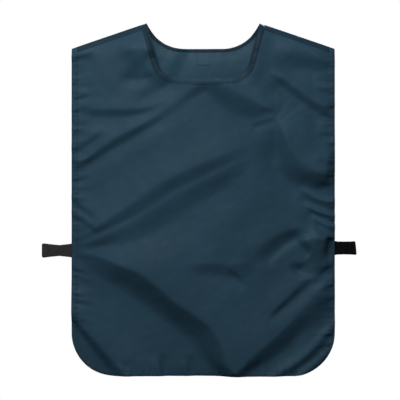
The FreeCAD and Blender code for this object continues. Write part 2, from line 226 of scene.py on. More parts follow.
# ---- folds ------------------------------------------------------------------
# A fold is the face between a crest and a valley line, which run the same way with the valley on the
# right: (drop, rise, recovery, lean, (fade in, fade out), crest, valley). The lines are points (x, z).
# The cloth rises to the crest over 'rise' and comes back from the valley over 'recovery'. At lean 1 the
# face is steepest just under its crest, and below 0 just over its valley. Half of a drop stands out over
# the unfolded surface, or more where the cloth has too little depth behind it to lie in that far, and
# less where it has too little in front.
FRONT_FOLDS = {
    "left loop to hem": (24, 85, 110, 0.6, (0.3, 0),
        [(-268, -457), (-235, -462), (-200, -470), (-165, -484), (-125, -500), (-90, -526), (-55, -556),
         (-18, -580), (15, -606), (38, -645), (56, -680), (72, -712)],
        [(-268, -478), (-240, -488), (-210, -508), (-180, -528), (-145, -552), (-112, -574), (-80, -597),
         (-48, -622), (-22, -650), (0, -682), (18, -712)]),
    "left loop to right chest, upper": (7, 40, 60, 0.1, (0.15, 0.3),
        [(-250, -430), (-200, -398), (-150, -364), (-100, -328), (-50, -301), (0, -279), (50, -259),
         (84, -246), (112, -234)],
        [(-250, -440), (-200, -419), (-150, -395), (-100, -366), (-50, -334), (0, -309), (50, -284),
         (90, -263), (118, -249)]),
    "left loop to right chest, lower": (8, 50, 45, 0.3, (0.15, 0.25),
        [(-250, -447), (-200, -426), (-150, -402), (-100, -373), (-50, -341), (0, -316), (50, -291),
         (110, -260)],
        [(-250, -452), (-200, -448), (-150, -440), (-100, -424), (-50, -394), (0, -362), (50, -330),
         (112, -292)]),
    "left hem corner": (12, 45, 25, 0.3, (0, 0),
        [(-268, -572), (-250, -594), (-225, -622), (-195, -655), (-168, -688), (-155, -708)],
        [(-268, -606), (-248, -630), (-222, -660), (-200, -688), (-190, -708)]),
    "left hem corner, small": (3.5, 8, 14, 0, (0, 0.4),
        [(-150, -708), (-160, -692), (-172, -676)], [(-136, -708), (-147, -690), (-160, -672)]),
    "hem tuck, left": (5, 15, 10, 0, (0, 0.5),
        [(-84, -708), (-90, -690), (-98, -660)], [(-69, -708), (-76, -690), (-85, -657)]),
    "hem tuck, middle": (4, 10, 14, 0, (0, 0.5),
        [(-30, -708), (-36, -690), (-45, -662)], [(-13, -708), (-20, -690), (-29, -660)]),
    "right side to hem": (14, 55, 30, 0.4, (0.08, 0.15),
        [(45, -712), (62, -692), (90, -668), (125, -640), (160, -610), (195, -574), (225, -540),
         (250, -518), (268, -508)],
        [(75, -715), (100, -695), (135, -676), (170, -650), (205, -618), (240, -600), (268, -592)]),
    "right side, streak": (5.5, 25, 14, 0.2, (0.25, 0.05),
        [(118, -590), (160, -552), (195, -518), (220, -492), (250, -470)],
        [(122, -604), (150, -578), (200, -536), (225, -512), (252, -492)]),
    "right hem corner": (6, 10, 8, 0.2, (0, 0),
        [(140, -704), (178, -682), (212, -657), (240, -624), (268, -596)],
        [(165, -708), (195, -688), (228, -664), (256, -631), (272, -612)]),
    "right hem corner, small": (3.5, 7, 7, 0.2, (0, 0),
        [(195, -703), (228, -676), (262, -642)], [(205, -708), (238, -683), (268, -652)]),
    "belly": (7, 50, 70, 0.5, (0.35, 0.25),
        [(-45, -477), (0, -480), (40, -481), (85, -480), (108, -474)],
        [(-45, -506), (0, -506), (40, -508), (85, -510), (112, -500)]),
    "belly, small": (3.5, 12, 14, 0.2, (0.35, 0.45),
        [(40, -483), (70, -500), (96, -522)], [(42, -496), (68, -514), (88, -536)]),
    "right loop, long": (7.5, 30, 9, 0.1, (0.25, 0.3),
        [(88, -478), (105, -452), (128, -432), (155, -416), (185, -408), (225, -404)],
        [(118, -494), (132, -470), (155, -448), (180, -432), (205, -424), (235, -418)]),
    "right loop, hollow": (18, 20, 9, 0.1, (0.26, 0.34),
        [(186, -444), (204, -434), (225, -430), (245, -437), (268, -446)],
        [(176, -476), (188, -493), (212, -501), (245, -499), (268, -494)]),
    "right chest to side": (19, 45, 26, 0.3, (0.3, 0.15),
        [(128, -194), (142, -195), (154, -206), (166, -234), (180, -262), (202, -286), (235, -300),
         (268, -306)],
        [(126, -212), (134, -236), (138, -262), (146, -296), (166, -318), (192, -332), (228, -338),
         (268, -340)]),
    "right chest, tip": (1.8, 10, 6, 0.2, (0.3, 0.35),
        [(88, -204), (112, -196), (134, -188), (150, -184)],
        [(92, -213), (116, -206), (138, -199), (152, -197)]),
    "right side, pleat 1": (8, 9, 5, 0.1, (0.3, 0.12),
        [(184, -330), (205, -338), (230, -351), (268, -362)],
        [(182, -349), (202, -357), (228, -369), (268, -380)]),
    "right side, pleat 2": (8, 5, 6, 0.1, (0.25, 0.12),
        [(196, -358), (214, -366), (236, -378), (268, -388)],
        [(202, -376), (218, -383), (238, -394), (268, -404)]),
    "right side, pleat 3": (6.5, 5, 6, 0.1, (0.25, 0.12),
        [(212, -384), (230, -394), (248, -402), (268, -408)],
        [(220, -401), (236, -410), (252, -418), (268, -424)]),
    "right loop, under": (4.5, 8, 9, 0.3, (0.3, 0.3),
        [(206, -520), (228, -502), (250, -482), (266, -468)],
        [(214, -532), (236, -514), (256, -494), (268, -482)]),
    "right shoulder": (9, 30, 25, 0, (0.35, 0.3),
        [(140, -44), (170, -48), (205, -58), (240, -70), (262, -80)],
        [(132, -114), (150, -103), (168, -96), (190, -94), (212, -98), (238, -108), (258, -112)]),
    "right armhole": (8, 14, 34, 0.2, (0.2, 0.15),
        [(128, -100), (145, -106), (165, -115), (190, -133), (215, -152), (240, -168), (264, -178)],
        [(130, -112), (150, -127), (175, -146), (200, -165), (225, -181), (252, -194)]),
    "neck to right chest": (11, 20, 60, 0.3, (0.12, 0.2),
        [(12, -108), (30, -121), (50, -131), (75, -144), (100, -156), (125, -170), (150, -182)],
        [(-8, -122), (8, -146), (26, -166), (50, -181), (75, -192), (100, -197), (135, -192)]),
    "left of the neck": (14, 20, 18, -0.3, (0.45, 0.35),
        [(-172, -70), (-150, -58), (-128, -54), (-106, -60), (-90, -74)],
        [(-172, -100), (-150, -110), (-128, -114), (-106, -110), (-88, -100)]),
    "neck to left side, upper": (7, 25, 25, 0.1, (0.4, 0.25),
        [(-155, -124), (-125, -119), (-100, -112), (-75, -101), (-52, -90)],
        [(-155, -160), (-122, -156), (-95, -142), (-72, -130), (-42, -114)]),
    "neck to left side, lower": (5, 20, 24, 0.3, (0.15, 0.5),
        [(-250, -171), (-200, -173), (-130, -172), (-100, -165), (-75, -155), (-45, -143)],
        [(-245, -190), (-200, -191), (-150, -189), (-110, -183), (-80, -172), (-48, -158)]),
    "left side fan, long": (6, 14, 16, 0.2, (0.06, 0.5),
        [(-265, -284), (-235, -272), (-200, -247), (-165, -225), (-125, -205), (-90, -184), (-55, -162),
         (-15, -142)],
        [(-265, -298), (-240, -293), (-215, -276), (-175, -252), (-135, -229), (-100, -208), (-75, -194),
         (-50, -178), (-10, -154)]),
    "left side fan, short": (4, 12, 9, 0.2, (0, 0.4),
        [(-265, -250), (-240, -238), (-215, -222), (-188, -212)],
        [(-265, -268), (-242, -258), (-218, -240), (-190, -226)]),
    "left side gather, upper": (3.5, 20, 9, 0.2, (0.1, 0.4),
        [(-268, -343), (-250, -356), (-232, -370), (-205, -384)],
        [(-268, -358), (-252, -370), (-232, -385), (-206, -396)]),
    "left side gather, lower": (3, 12, 12, 0.2, (0.1, 0.35),
        [(-268, -374), (-245, -386), (-222, -401), (-200, -416)],
        [(-268, -388), (-246, -399), (-224, -413), (-202, -427)]),
    "neckline, right": (6, 16, 10, 0.2, (0, 0.3),
        [(120, 12), (116, -20), (106, -70), (104, -122), (104, -135)],
        [(102, 12), (96, -20), (86, -70), (74, -118), (72, -135)]),
    "neckline, left": (4, 12, 10, 0.2, (0.35, 0),
        [(-84, -125), (-92, -100), (-104, -62), (-117, -20), (-124, 12)],
        [(-68, -120), (-78, -92), (-91, -55), (-103, -15), (-108, 12)]),
    "left shoulder": (5, 15, 14, 0, (0, 0.4),
        [(-268, -66), (-240, -55), (-208, -48)], [(-268, -94), (-240, -86), (-204, -74)]),
}


def side_ticks(hand, heights, climb, drop):
    """Small gathers that run in from a panel's side, one at each height, and climb as they go."""
    start = 268  # just outside the panel
    ticks = {}
    for number, height in enumerate(heights):
        length = 44 + 12 * math.sin(2.3 * number)
        line = [(hand * (start - length * t), height + climb * math.sin(1.5 * t)) for t in (0, 0.4, 0.75, 1)]
        lower = [(x, z - 8 - 2 * math.sin(1.7 * number)) for x, z in line]
        fade = (0.3, 0.6)
        if hand == RIGHT:
            line, lower, fade = line[::-1], lower[::-1], (0.6, 0.3)
        size = drop * (1 + 0.3 * math.sin(3.1 * number))
        ticks[f"tick {hand:+.0f} {height:.0f}"] = (size, 9, 8, 0.1, fade, line, lower)
    return ticks


for gathers in ((LEFT, (-74, -101, -122, -155, -178, -221, -316), 14, 2.2),
                (LEFT, (-484, -500, -531, -546, -580), -12, 2.4),
                (RIGHT, (-88, -139, -168, -189, -226, -243, -281), 12, 2.2),
                (RIGHT, (-516, -545, -612, -634), -12, 2.2)):
    FRONT_FOLDS |= side_ticks(*gathers)

# The back panel hangs from the same ridge and is pulled by the same loops.
BACK_FOLDS = {
    "neck, slant": (4, 22, 14, 0.2, (0.05, 0.3),
        [(-14, -30), (-38, -75), (-62, -125), (-75, -150)],
        [(-40, -25), (-64, -72), (-88, -120), (-100, -145)]),
    "left loop to hem": (13, 60, 45, 0.5, (0.05, 0),
        [(-268, -455), (-215, -470), (-160, -500), (-110, -545), (-70, -600), (-45, -660), (-38, -710)],
        [(-268, -478), (-225, -500), (-175, -535), (-135, -580), (-102, -630), (-84, -680), (-80, -712)]),
    "left loop to chest": (8, 35, 20, 0.3, (0.12, 0.25),
        [(-255, -440), (-205, -418), (-150, -380), (-100, -335), (-55, -300), (-10, -280)],
        [(-245, -450), (-200, -440), (-145, -412), (-92, -368), (-48, -328), (0, -302)]),
    "right loop to chest": (8, 40, 22, 0.4, (0.3, 0.1),
        [(20, -330), (75, -350), (130, -385), (180, -420), (235, -440)],
        [(20, -356), (70, -378), (125, -412), (178, -440), (232, -452)]),
    "right loop to hem": (14, 55, 35, 0.4, (0, 0.05),
        [(85, -712), (92, -660), (118, -600), (160, -545), (215, -495), (268, -465)],
        [(125, -714), (130, -670), (152, -620), (190, -568), (235, -520), (268, -490)]),
    "yoke": (8, 30, 60, 0.3, (0.3, 0.3),
        [(-150, -120), (-90, -138), (-30, -144), (40, -142), (100, -128), (150, -108)],
        [(-150, -150), (-90, -170), (-30, -178), (40, -175), (100, -160), (150, -138)]),
    "left shoulder": (7, 20, 25, 0.2, (0.2, 0.4),
        [(-205, -60), (-175, -90), (-150, -130), (-135, -180), (-130, -230)],
        [(-230, -75), (-200, -105), (-176, -145), (-162, -190), (-158, -235)]),
    "right shoulder": (7, 20, 25, 0.2, (0.4, 0.2),
        [(120, -250), (128, -190), (145, -140), (175, -95), (205, -62)],
        [(150, -255), (158, -200), (176, -152), (202, -112), (232, -80)]),
    "hem tuck, left": (4, 14, 12, 0, (0, 0.5),
        [(-150, -710), (-158, -685), (-170, -650)], [(-132, -710), (-140, -685), (-154, -645)]),
    "hem tuck, right": (5, 14, 12, 0, (0, 0.5),
        [(10, -710), (6, -680), (-6, -640)], [(28, -710), (24, -682), (12, -640)]),
}

fold_strength = 1.15  # scales every drop
fold_tail = 2.6  # a fold is worked out as far as this many rises or recoveries
crest_share, most_crest_share = 0.5, 0.8  # of a drop that stands out over the unfolded surface
lean_steepness = 1.7
least_depth, least_depth_inside, floor_run = 4.0, 6.2, 35
greatest_depth = {FRONT: 38.4, BACK: 30.4}
ridge_hold = 26.0  # the cloth is held to its unfolded place at the ridge, and this far below it no more
swells = ((150, 0.7), (34, 0.2))  # size and height of the unevenness between the folds
edge_gathers, neck_gathers = (0.5, 15.0), (0.26, 9.0)  # height, and how far in they reach

# Where a loop is sewn on, the panel's edge is held flat.
loop_heights = {LEFT: -455.0, RIGHT: -450.0}
hold_half_height, hold_reach = 15.0, 8.0


def smooth_line(points, step=6.0):
    """A Catmull-Rom curve through the points."""
    p = np.array(points, float)
    p = np.vstack([2 * p[0] - p[1], p, 2 * p[-1] - p[-2]])
    stretches = []
    for a, b, c, d in zip(p[:-3], p[1:-2], p[2:-1], p[3:]):
        count = max(2, int(np.hypot(*(c - b)) / step))
        t = np.linspace(0, 1, count, endpoint=False)[:, None]
        stretches.append(0.5 * (2 * b + (c - a) * t + (2 * a - 5 * b + 4 * c - d) * t**2
                                + (3 * b - a - 3 * c + d) * t**3))
    return np.vstack([*stretches, p[-2][None]])


def add_fold(lift, room, x, z, drop, rise, recovery, lean, fade, crest, valley):
    """Add a fold to a lift grid. room is how far the cloth can go in and out from its unfolded place."""
    drop = fold_strength * drop
    crest, valley = smooth_line(crest), smooth_line(valley)
    both = np.vstack([crest, valley])
    reach = fold_tail * max(rise, recovery)
    low, high = both.min(0) - reach, both.max(0) + reach
    m = (x > low[0]) & (x < high[0]) & (z > low[1]) & (z < high[1])
    above, along_crest = near(x[m], z[m], crest)[:2]
    below, along_valley = near(x[m], z[m], valley)[:2]
    along_crest = along_crest / along_crest.max()
    along_valley = along_valley / along_valley.max()
    t = np.clip(-above / np.maximum(below - above, 1e-6), 0, 1)
    leaned = 1 - (1 - t) ** lean_steepness if lean >= 0 else t**lean_steepness
    inward, outward = (free[m] / drop for free in room)
    share = np.minimum(np.clip(1 - inward, crest_share, most_crest_share), outward)
    face = share - (smoothstep(t) * (1 - abs(lean)) + leaned * abs(lean))
    face *= np.where(above > 0, np.exp(-(above / rise) ** 2), 1)
    face *= np.where(below < 0, np.exp(-(below / recovery) ** 2), 1)
    along = np.where(above > 0, along_crest, along_crest * (1 - t) + along_valley * t)
    along = np.where(below < 0, along_valley, along)
    for run, from_end in zip(fade, (along, 1 - along)):
        if run > 0:
            face *= smoothstep(from_end / run)
    lift[m] += drop * face


def soft_noise(rng, x, z, size):
    """Smooth noise of about unit size: a few rows of random waves for each of three lengths."""
    total = np.zeros(x.shape)
    for k in range(3):
        length = size * 0.62**k
        for _ in range(7):
            angle, phase = rng.uniform(0, math.pi), rng.uniform(0, 2 * math.pi)
            spread = length * rng.uniform(0.75, 1.35)
            along = x * math.cos(angle) + z * math.sin(angle)
            total += 0.62**k * np.sin(2 * math.pi * along / spread + phase)
    return total / 3.5


def rows_of_waves(rng, s, lengths):
    """One wave of each length along s, each with a random phase."""
    total = np.zeros(s.shape)
    for length in lengths:
        total += np.sin(2 * math.pi * s / length + rng.uniform(0, 2 * math.pi))
    return total


class Field:
    """The folded outer surface of one panel: its depth, kept on a fine grid."""

    step, margin = 1.5, 9.0

    def __init__(self, side, folds, seed):
        self.side = side
        self.x0, self.z0 = -half_width - self.margin, -panel_length - self.margin
        columns = int((2 * half_width + 2 * self.margin) / self.step) + 1
        rows = int((panel_length + ridge_height(0) + 2 * self.margin) / self.step) + 1
        self.last = (columns - 1 - 1e-6, rows - 1 - 1e-6)
        x, z = np.meshgrid(self.x0 + self.step * np.arange(columns), self.z0 + self.step * np.arange(rows))
        rng = np.random.default_rng(seed)
        inward, along = self.from_edge(x, z)
        base = base_depth(x, z, side)
        floor = least_depth + (least_depth_inside - least_depth) * smoothstep(inward / floor_run)
        floor = np.minimum(floor, base)
        lift = np.zeros(x.shape)
        for fold in folds.values():
            add_fold(lift, (base - floor, greatest_depth[side] - base), x, z, *fold)
        lift += sum(height * soft_noise(rng, x, z, size) for size, height in swells)
        lift += self.puckers(rng, inward, along, *edge_gathers)
        lift += self.puckers(rng, *self.from_neck(x, z), *neck_gathers)
        lift *= self.free_share(x, z)
        roll = np.clip((ridge_height(x) - z) / ridge_hold, 0, 1)
        lift *= 1 - (1 - roll) ** 2
        # a soft floor and a soft ceiling, so that no crease shows where a fold meets them
        free = base + lift - floor
        depth = floor + 0.5 * (free + np.sqrt(free**2 + 1.2 * smoothstep(inward / 10) * roll))
        room = greatest_depth[side] - depth
        self.depth_grid = greatest_depth[side] - 0.5 * (room + np.sqrt(room**2 + 4.0))

    def from_edge(self, x, z):
        """Distance in from the sides and hem, and place along them."""
        return near(x, z, edge_path(8.0))[:2]

    def from_neck(self, x, z):
        distance, along = near(x, z, neck_path(self.side, 6.0))[:2]
        return -distance, along

    def puckers(self, rng, inward, along, height, reach):
        """Small gathers that a line of stitches draws up across a hem."""
        short = rows_of_waves(rng, along, (7.3, 9.1, 12.7))
        long = rows_of_waves(rng, along, (19.0, 27.0))
        inward = np.maximum(inward, 0)
        held = 0.3 + 0.7 * smoothstep(inward / 9)  # the hem itself is stiffer
        near_edge = np.exp(-((inward / reach) ** 2)) * held
        further = np.exp(-((inward / (2.2 * reach)) ** 2)) * held
        return height * (short * near_edge + 0.8 * long * further)

    def free_share(self, x, z):
        """How far the cloth may leave its unfolded place: nothing where a loop is sewn on."""
        share = np.ones(x.shape)
        for hand, height in loop_heights.items():
            beside = np.clip((np.abs(z - height) - hold_half_height) / 9, 0, 1)
            inside = np.clip((half_width - hand * x - hold_reach) / 14, 0, 1)
            share *= smoothstep(np.maximum(beside, inside))
        return share

    def depth(self, x, z):
        """Depth of the outer surface at any points, between the grid's own."""
        x, z = np.asarray(x, float), np.asarray(z, float)
        u = np.clip((x - self.x0) / self.step, 0, self.last[0])
        v = np.clip((z - self.z0) / self.step, 0, self.last[1])
        i, j = u.astype(int), v.astype(int)
        u, v = u - i, v - j
        g = self.depth_grid
        return (g[j, i] * (1 - u) * (1 - v) + g[j, i + 1] * u * (1 - v)
                + g[j + 1, i] * (1 - u) * v + g[j + 1, i + 1] * u * v)

    def place(self, x, z, inset):
        """Points in millimetres of a layer at an inset, kept on its own side of the shoulder plane."""
        z = np.minimum(z, layer_top(x, inset, self.side))
        y = np.maximum(self.depth(x, z) - inset, seam_gap)
        return np.stack([x, self.side * y, z], -1)


# ---- materials --------------------------------------------------------------
cloth_specular, rubber_specular = 0.06, 0.5


class Shader:
    """A material's node tree, built a node at a time."""

    def __init__(self, name, roughness, specular=cloth_specular):
        self.material = bpy.data.materials.new(name)
        self.material.use_nodes = True
        self.tree = self.material.node_tree
        self.surface = self.tree.nodes["Principled BSDF"]
        self.surface.inputs["Roughness"].default_value = roughness
        self.surface.inputs["Specular IOR Level"].default_value = specular
        self.place = self.node("ShaderNodeTexCoord").outputs["Object"]

    def node(self, kind, inputs=None, **settings):
        made = self.tree.nodes.new(kind)
        for name, value in settings.items():
            setattr(made, name, value)
        for socket, value in (inputs or {}).items():
            if isinstance(value, bpy.types.NodeSocket):
                self.tree.links.new(value, made.inputs[socket])
            else:
                made.inputs[socket].default_value = value
        return made

    def noise(self, scale, detail=3.0, roughness=0.5):
        """Noise with features of about 1/scale metres."""
        inputs = {"Vector": self.place, "Scale": scale, "Detail": detail, "Roughness": roughness}
        return self.node("ShaderNodeTexNoise", inputs).outputs["Fac"]

    def ridges(self, axis, pitch, distortion=0.0):
        """Parallel ridges across an axis, a pitch apart in millimetres."""
        scale = math.pi / 10 / (pitch * METRE)  # a wave texture's own pitch is pi / 10
        inputs = {"Vector": self.place, "Scale": scale, "Distortion": distortion}
        return self.node("ShaderNodeTexWave", inputs, bands_direction=axis).outputs["Fac"]

    def math(self, operation, a, b):
        return self.node("ShaderNodeMath", {0: a, 1: b}, operation=operation).outputs[0]

    def ramp(self, value, dark, light, low=0.3, high=0.7):
        made = self.node("ShaderNodeValToRGB", {"Fac": value})
        for stop, place, colour in zip(made.color_ramp.elements, (low, high), (dark, light)):
            stop.position = place
            stop.color = (*colour, 1)
        return made.outputs["Color"]

    def colour(self, value):
        self.tree.links.new(value, self.surface.inputs["Base Color"])

    def rough(self, value, low, high):
        made = self.node("ShaderNodeMapRange", {"Value": value, "To Min": low, "To Max": high})
        self.tree.links.new(made.outputs[0], self.surface.inputs["Roughness"])

    def bump(self, height, distance, strength=1.0):
        """Bumps of a height in millimetres, laid over those added before."""
        inputs = {"Height": height, "Distance": distance * METRE, "Strength": strength}
        normal = self.surface.inputs["Normal"]
        if normal.links:
            inputs["Normal"] = normal.links[0].from_socket
        self.tree.links.new(self.node("ShaderNodeBump", inputs).outputs[0], normal)

    def bump_cloth(self):
        """The fine grain and the small dents of worn cloth."""
        self.bump(self.noise(420.0, 2.0), 0.08, 0.5)
        self.bump(self.noise(70.0, 3.0), 0.25, 0.35)


def tinted(colour, factor):
    return tuple(c * factor for c in colour)


def nylon(name, colour, roughness=0.55):
    """Coated plain-weave nylon: fine threads, faint clouding and a low sheen."""
    s = Shader(name, roughness)
    clouds = s.noise(9.0, 4.0, 0.6)
    s.colour(s.ramp(clouds, tinted(colour, 0.93), tinted(colour, 1.07)))
    s.rough(s.noise(60.0, 3.0), roughness - 0.06, roughness + 0.08)
    threads = s.math("MAXIMUM", s.ridges("X", 0.9), s.ridges("Z", 0.9))
    s.bump(threads, 0.05)
    s.bump_cloth()
    return s.material


def painted_shade_tape(name, dark, light):
    """Tape with painted shade along the neckline's sides: darker there than along the low front of it."""
    s = Shader(name, 0.6)
    height = s.node("ShaderNodeSeparateXYZ", {"Vector": s.place}).outputs["Z"]
    low, high = -(front_neck_depth + 2) * METRE, -(front_neck_depth - 20) * METRE
    share = s.node("ShaderNodeMapRange", {"Value": height, "From Min": low, "From Max": high})
    # painted shade: the darker colour above the neckline's low front stands in for the shade on its sides
    s.colour(s.ramp(share.outputs[0], light, dark, 0.0, 1.0))
    s.bump_cloth()
    return s.material


def knit_elastic(name, colour, light):
    """Woven elastic: ribs along the band over fine cross threads."""
    s = Shader(name, 0.85)
    cross = s.ridges("X", 1.1, 1.5)
    s.colour(s.ramp(s.math("MULTIPLY", cross, s.noise(300.0, 4.0)), colour, light, 0.1, 0.6))
    s.bump(cross, 0.12)
    s.bump(s.noise(900.0, 3.0), 0.1, 0.6)
    return s.material


def plain(name, colour, roughness, grain, depth, specular=cloth_specular):
    """A worn, faintly grained surface for small and hidden pieces."""
    s = Shader(name, roughness, specular)
    s.colour(s.ramp(s.noise(grain, 4.0), tinted(colour, 0.82), tinted(colour, 1.15)))
    s.bump(s.noise(grain * 4, 3.0), depth)
    return s.material


FACE_COLOUR = (0.0128, 0.034, 0.053)
materials = {
    "face_cloth": nylon("petrol blue nylon", FACE_COLOUR),
    "binding_tape": nylon("petrol blue binding", tinted(FACE_COLOUR, 0.93), 0.58),
    "shoulder_tape": nylon("petrol blue tape", tinted(FACE_COLOUR, 0.62), 0.6),
    # the neck tape's darker sides are painted shade
    "neck_tape_painted_shade": painted_shade_tape("petrol blue neck tape", tinted(FACE_COLOUR, 0.5), tinted(FACE_COLOUR, 0.93)),
    "lining_cloth": nylon("lining nylon", (0.0145, 0.0375, 0.057), 0.5),
    "shield_sheet": plain("lead-loaded rubber", (0.03, 0.032, 0.035), 0.7, 120.0, 0.05, rubber_specular),
    "thread": plain("polyester thread", (0.016, 0.037, 0.055), 0.6, 2500.0, 0.03),
    # The two loops are one elastic: the left loop's lighter grey is painted light and the right loop's near
    # black is painted shade.
    "elastic_grey": knit_elastic("grey elastic", (0.012, 0.012, 0.0125), (0.036, 0.035, 0.037)),
    "elastic_black": knit_elastic("black elastic", (0.0008, 0.0012, 0.0018), (0.0026, 0.0034, 0.0044)),
    "label_tape": plain("label tape", (0.0195, 0.0465, 0.064), 0.65, 700.0, 0.05),
}


# ---- meshes -----------------------------------------------------------------
def new_object(name, data):
    made = bpy.data.objects.new(name, data)
    bpy.context.collection.objects.link(made)
    return made


def make_piece(name, points, faces, slot, nodes, body=None, spans=None, material=None):
    """A smooth mesh from points in millimetres. Given spans, (body, body, start, end), it is attached to no
    body; the values in spans are not used.
    """
    mesh = bpy.data.meshes.new(name)
    mesh.from_pydata((np.asarray(points) * METRE).tolist(), [], faces)
    mesh.validate()
    mesh.shade_smooth()
    mesh.materials.append(materials[material or slot])
    piece = new_object(name, mesh)
    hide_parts(*nodes)
    if spans:
        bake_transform(piece)
    else:
        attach(piece, body)
    return piece


def grid_quads(rows, columns, closed=False):
    """Quads between the points of a grid kept row by row; closed joins each row's end to its start."""
    j, i = np.meshgrid(np.arange(rows - 1), np.arange(columns if closed else columns - 1), indexing="ij")
    after = (i + 1) % columns
    return np.stack([j * columns + i, j * columns + after, (j + 1) * columns + after, (j + 1) * columns + i],
                    -1).reshape(-1, 4)


def closed_sheet(outer, inner, quads):
    """Points and faces of a sheet between two surfaces, with its edge closed."""
    count = len(outer)
    edges = np.concatenate([quads[:, [k, (k + 1) % 4]] for k in range(4)])
    forward = edges[:, 0].astype(np.int64) * count + edges[:, 1]
    back = edges[:, 1].astype(np.int64) * count + edges[:, 0]
    rim = edges[~np.isin(forward, back)]
    sides = np.stack([rim[:, 1], rim[:, 0], rim[:, 0] + count, rim[:, 1] + count], 1)
    faces = np.concatenate([quads, quads[:, ::-1] + count, sides])
    used, renumbered = np.unique(faces, return_inverse=True)
    return np.concatenate([outer, inner])[used], renumbered.reshape(faces.shape).tolist()


def facing(side, quads):
    """Quads whose corners run in x, then z, turned to face out of a panel."""
    return quads if side == FRONT else quads[:, ::-1]


def cloth_region(field, cell, top_inset):
    """A grid over the panel, pulled to its outline: x, z and the quads that lie inside."""
    columns = int(2 * half_width / cell) + 3
    rows = int((panel_length + ridge_height(0)) / cell) + 3
    x = cell * (np.arange(columns) - (columns - 1) / 2)
    z = -panel_length - cell / 2 + cell * np.arange(rows)
    x, z = (a.ravel() for a in np.meshgrid(x, z))
    kept = np.ones(x.shape, bool)
    for path, hand in ((edge_path(), 1), (neck_path(field.side), -1)):
        distance, _, foot_x, foot_z = near(x, z, path)
        short = cloth_margin - hand * distance
        pulled = (np.abs(short) < 0.5 * cell) & (np.abs(distance) > 1e-3)
        stretch = np.where(pulled, cloth_margin / np.where(pulled, hand * distance, 1), 1)
        kept &= pulled | (short < 0)
        x, z = foot_x + (x - foot_x) * stretch, foot_z + (z - foot_z) * stretch
    top = layer_top(x, top_inset, field.side)
    kept &= z < top + 0.5 * cell
    z = np.where(z > top - 0.5 * cell, top, z)
    quads = grid_quads(rows, columns)
    return x, z, facing(field.side, quads[kept[quads].all(1)])


def loft(inward, amount):
    """How much further in a layer lies, away from the edges."""
    return amount * smoothstep((inward - loft_start) / loft_run)


def sag(field, x, z, inward):
    """How much lower the surface lies close by: an inner layer keeps under it, so its facets stay hidden."""
    turns = np.linspace(0, 2 * math.pi, 8, endpoint=False)
    around = [field.depth(x + sag_reach * math.cos(t), z + sag_reach * math.sin(t)) for t in turns]
    lower = np.maximum(field.depth(x, z) - np.min(around, axis=0), 0)
    return lower * smoothstep((inward - sag_start) / sag_run)


def cloth(field, cell, inset, thickness, extra_loft):
    """One layer of a panel, of quads about a cell across."""
    x, z, quads = cloth_region(field, cell, inset)
    from_edge, from_neck = field.from_edge(x, z)[0], field.from_neck(x, z)[0]
    from_top = 2.0 * (ridge_height(x) - z) + 4
    inward = np.min([from_edge, from_neck, from_top], axis=0)
    covered = (binding_width - from_edge, binding_width - from_top, neck_binding_inside - from_neck)
    recess = cloth_recess * smoothstep((recess_run + np.max(covered, axis=0)) / recess_run)
    at = inset + loft(inward, extra_loft)
    if inset == 0:
        at = at + recess
    elif inset == lining_inset:
        at = at - recess
    if inset > 0:
        at = at + sag(field, x, z, inward)
    points = field.place(x, z, at)
    behind = points.copy()
    behind[:, 1] -= field.side * np.minimum(thickness, np.abs(points[:, 1]) - 0.05)
    return closed_sheet(points, behind, quads)


def swept(sections):
    """A closed profile carried along a path, with its ends closed: sections is (path, profile, 3)."""
    rows, columns, _ = sections.shape
    faces = grid_quads(rows, columns, closed=True).tolist()
    faces.append(list(range(columns))[::-1])
    faces.append(list(range((rows - 1) * columns, rows * columns)))
    return sections.reshape(-1, 3), faces


def along_edge(field, path, hand, across, insets):
    """Points of a profile, given by its distances from a path and its insets, at each step of the path."""
    path = resample(path, 2.6)
    tip = path[0][1]
    normals = left_normals(path) * hand
    x = path[:, :1] + normals[:, :1] * across
    z = path[:, 1:] + normals[:, 1:] * across
    insets = np.broadcast_to(insets, x.shape)
    near_tip = np.clip((path[:, 1:] - tip + ridge_hold) / ridge_hold, 0, 1)
    z = z + (layer_top(x, insets, field.side) - tip) * near_tip
    return field.place(x, z, insets)


# ---- bindings, tapes and thread ---------------------------------------------
def folded_profile(inside):
    """Distances from the edge and insets of a strip folded over it: out, round the edge, back, and inside."""
    width, thick, face, back = binding_width, binding_cloth, binding_face, binding_back
    outer = [(width, face + thick), (width + 0.1, face + 0.15), (width - 0.25, face),
             (width - 1.2, face - 0.14), (width - 2.0, face + 0.3), (width - 2.8, face - 0.14),
             (width - 5, face - 0.2), (3.6, face - 0.1), (2.4, face + 0.12)]
    radius, middle = (back - face) / 2, (face + back) / 2
    turn = [math.radians(a) for a in (25, 45, 65, 90, 115, 135, 155)]
    rim = [(radius * (1 - math.sin(a)), middle - radius * math.cos(a)) for a in turn]
    inner = [(2.0, back), (inside - 2.0, back - 0.1), (inside - 0.2, back), (inside, back - 0.15),
             (inside, back - thick)]
    hollow = [(1.8, back - thick), (0.8, 1.5), (0.8, 0.5), (1.8, face + thick)]
    return np.array(outer + rim + inner + hollow).T


def binding(field, path, hand, inside):
    distance, inset = folded_profile(inside)
    return swept(along_edge(field, path, hand, distance[None, :], inset[None, :]))


def tubes(lines, across, radius, sides=5):
    """Round threads along lines, given as (count, points, 3), thinner at their ends."""
    count, length, _ = lines.shape
    angle = 2 * math.pi * np.arange(sides) / sides
    taper = np.ones(length)
    taper[[0, -1]] = 0.45
    out = np.array([0.0, 1.0, 0.0])
    ring = (np.cos(angle)[:, None] * across[:, None, None, :] + np.sin(angle)[:, None] * out) * radius
    points = lines[:, :, None, :] + ring * taper[None, :, None, None]
    one = grid_quads(length, sides, closed=True)
    start = (np.arange(count) * length * sides)[:, None, None]
    faces = (one[None] + start).reshape(-1, 4).tolist()
    cap = np.arange(sides)
    faces += (cap[::-1] + start[:, :, 0]).tolist()
    faces += (cap + (length - 1) * sides + start[:, :, 0]).tolist()
    return points.reshape(-1, 3), faces


